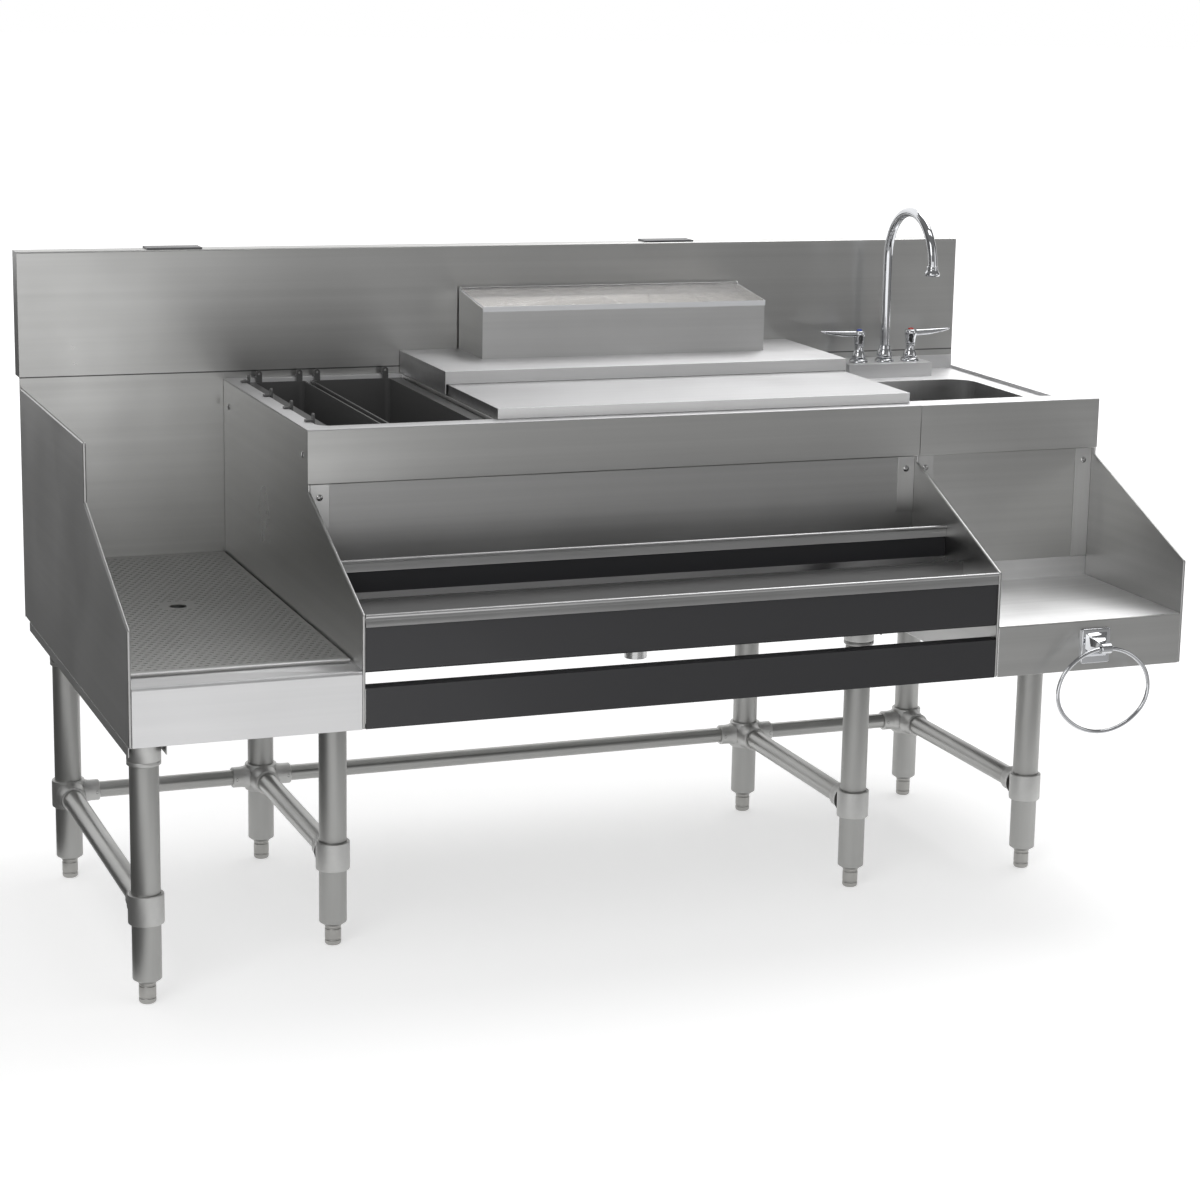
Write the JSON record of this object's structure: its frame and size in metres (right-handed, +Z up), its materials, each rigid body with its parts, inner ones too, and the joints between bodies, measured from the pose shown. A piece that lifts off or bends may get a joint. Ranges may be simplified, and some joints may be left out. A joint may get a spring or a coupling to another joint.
{
  "type": "underbar sink and ice bin station",
  "caption": "Stainless steel underbar station with a drainboard, an insulated ice bin with bottle wells and speed rails, and a sink with a swivel faucet, on pipe legs.",
  "frame": {"origin": "The middle of the object's box on the floor.", "axes": "+X runs to the object's right along the splash as the user faces it, +Y to the wall behind it, +Z up."},
  "size_m": [1.676, 0.909, 1.043],
  "materials": {
    "brushed_stainless": "satin brushed",
    "bright_stainless": "satin brushed",
    "leg_stainless": "satin",
    "cast_fitting": "matte cast",
    "screw_steel": "satin",
    "dark_steel": "matte",
    "black_coat": "satin",
    "black_plastic": "gloss",
    "chrome": "polished",
    "faucet_brass": "satin",
    "insert_plastic": "matte",
    "clear_plastic": "gloss",
    "foam": "matte",
    "drain_steel": "polished",
    "foot_metal": "matte cast"
  },
  "bodies": {
    "station": {"back_splash": "brushed_stainless", "drainboard_back": "brushed_stainless", "left_end_panel": "brushed_stainless", "left_partition": "brushed_stainless", "right_partition": "brushed_stainless", "right_end_panel": "brushed_stainless", "ice_bin_jacket": "brushed_stainless", "rear_panel": "brushed_stainless", "ice_bin_fascia": "brushed_stainless", "sink_fascia": "brushed_stainless", "sink_front_panel": "brushed_stainless", "panel_strips": "brushed_stainless", "rail_lips": "brushed_stainless", "bin_divider": "brushed_stainless", "drainboard_pan": "bright_stainless", "ice_bin_liner": "bright_stainless", "sink_deck": "bright_stainless", "faucet_ledge": "bright_stainless", "shelf": "bright_stainless", "leg_channels": "leg_stainless", "leg_sockets": "leg_stainless", "leg_tubes": "leg_stainless", "side_braces": "leg_stainless", "rear_braces": "leg_stainless", "brace_fittings": "cast_fitting", "fitting_screws": "screw_steel", "panel_screws": "screw_steel", "wall_clips": "dark_steel", "drain_nuts": "cast_fitting", "front_rail": "black_coat", "rear_rail": "black_coat", "lower_rail": "black_coat", "faucet_flanges": "chrome", "towel_ring_bracket": "chrome", "faucet_body": "faucet_brass", "ice_bin_insulation": "foam", "ice_bin_drain": "drain_steel", "sink_drain": "drain_steel", "drainboard_drain": "drain_steel"},
    "spout": {"spout": "chrome"},
    "left_handle": {"left_handle": "chrome"},
    "right_handle": {"right_handle": "chrome"},
    "front_cover": {"front_cover": "brushed_stainless"},
    "back_cover": {"back_cover": "brushed_stainless"},
    "condiment_box": {"condiment_box": "brushed_stainless"},
    "condiment_insert": {"condiment_insert": "insert_plastic"},
    "condiment_cover": {"condiment_cover": "clear_plastic"},
    "left_bottle_well": {"left_bottle_well": "black_plastic"},
    "right_bottle_well": {"right_bottle_well": "black_plastic"},
    "drainboard_insert": {"drainboard_insert": "bright_stainless"},
    "towel_ring": {"towel_ring": "chrome"},
    "sink_strainer": {"sink_strainer": "drain_steel"},
    "foot_1": {"foot_1": "foot_metal"},
    "foot_2": {"foot_2": "foot_metal"},
    "foot_3": {"foot_3": "foot_metal"},
    "foot_4": {"foot_4": "foot_metal"},
    "foot_5": {"foot_5": "foot_metal"},
    "foot_6": {"foot_6": "foot_metal"},
    "foot_7": {"foot_7": "foot_metal"},
    "foot_8": {"foot_8": "foot_metal"}
  },
  "joints": [
    {"name": "spout_swivel", "type": "hinge", "parent": "station", "child": "spout", "pos_m": [0.6735, 0.3565, 0.8], "axis": [0, 0, 1], "range_deg": [-90, 90]},
    {"name": "left_handle_turn", "type": "hinge", "parent": "station", "child": "left_handle", "pos_m": [0.6225, 0.3565, 0.8], "axis": [0, 0, 1], "range_deg": [0, 90]},
    {"name": "right_handle_turn", "type": "hinge", "parent": "station", "child": "right_handle", "pos_m": [0.7245, 0.3565, 0.8], "axis": [0, 0, -1], "range_deg": [0, 90]},
    {"name": "front_cover_slide", "type": "slide", "parent": "station", "child": "front_cover", "axis": [0, 1, 0], "range_m": [0, 0.235]},
    {"name": "back_cover_lift", "type": "slide", "parent": "station", "child": "back_cover", "axis": [0, 0, 1], "range_m": [0, 0.2]},
    {"name": "condiment_box_lift", "type": "slide", "parent": "back_cover", "child": "condiment_box", "axis": [0, 0, 1], "range_m": [0, 0.15]},
    {"name": "condiment_insert_lift", "type": "slide", "parent": "condiment_box", "child": "condiment_insert", "axis": [0, 0, 1], "range_m": [0, 0.0075]},
    {"name": "condiment_cover_hinge", "type": "hinge", "parent": "condiment_box", "child": "condiment_cover", "pos_m": [0.149, 0.4035, 0.90117], "axis": [-1, 0, 0], "range_deg": [0, 80]},
    {"name": "left_well_lift", "type": "slide", "parent": "station", "child": "left_bottle_well", "axis": [0, 0, 1], "range_m": [0, 0.25]},
    {"name": "right_well_lift", "type": "slide", "parent": "station", "child": "right_bottle_well", "axis": [0, 0, 1], "range_m": [0, 0.25]},
    {"name": "drainboard_insert_lift", "type": "slide", "parent": "station", "child": "drainboard_insert", "axis": [0, 0, 1], "range_m": [0, 0.15]},
    {"name": "towel_ring_swing", "type": "hinge", "parent": "station", "child": "towel_ring", "pos_m": [0.6785, -0.4465, 0.423], "axis": [1, 0, 0], "range_deg": [-100, 25]},
    {"name": "strainer_lift", "type": "slide", "parent": "station", "child": "sink_strainer", "axis": [0, 0, 1], "range_m": [0, 0.2]},
    {"name": "foot_1_screw", "type": "slide", "parent": "station", "child": "foot_1", "axis": [0, 0, -1], "range_m": [0, 0.025]},
    {"name": "foot_2_screw", "type": "slide", "parent": "station", "child": "foot_2", "axis": [0, 0, -1], "range_m": [0, 0.025]},
    {"name": "foot_3_screw", "type": "slide", "parent": "station", "child": "foot_3", "axis": [0, 0, -1], "range_m": [0, 0.025]},
    {"name": "foot_4_screw", "type": "slide", "parent": "station", "child": "foot_4", "axis": [0, 0, -1], "range_m": [0, 0.025]},
    {"name": "foot_5_screw", "type": "slide", "parent": "station", "child": "foot_5", "axis": [0, 0, -1], "range_m": [0, 0.025]},
    {"name": "foot_6_screw", "type": "slide", "parent": "station", "child": "foot_6", "axis": [0, 0, -1], "range_m": [0, 0.025]},
    {"name": "foot_7_screw", "type": "slide", "parent": "station", "child": "foot_7", "axis": [0, 0, -1], "range_m": [0, 0.025]},
    {"name": "foot_8_screw", "type": "slide", "parent": "station", "child": "foot_8", "axis": [0, 0, -1], "range_m": [0, 0.025]}
  ]
}
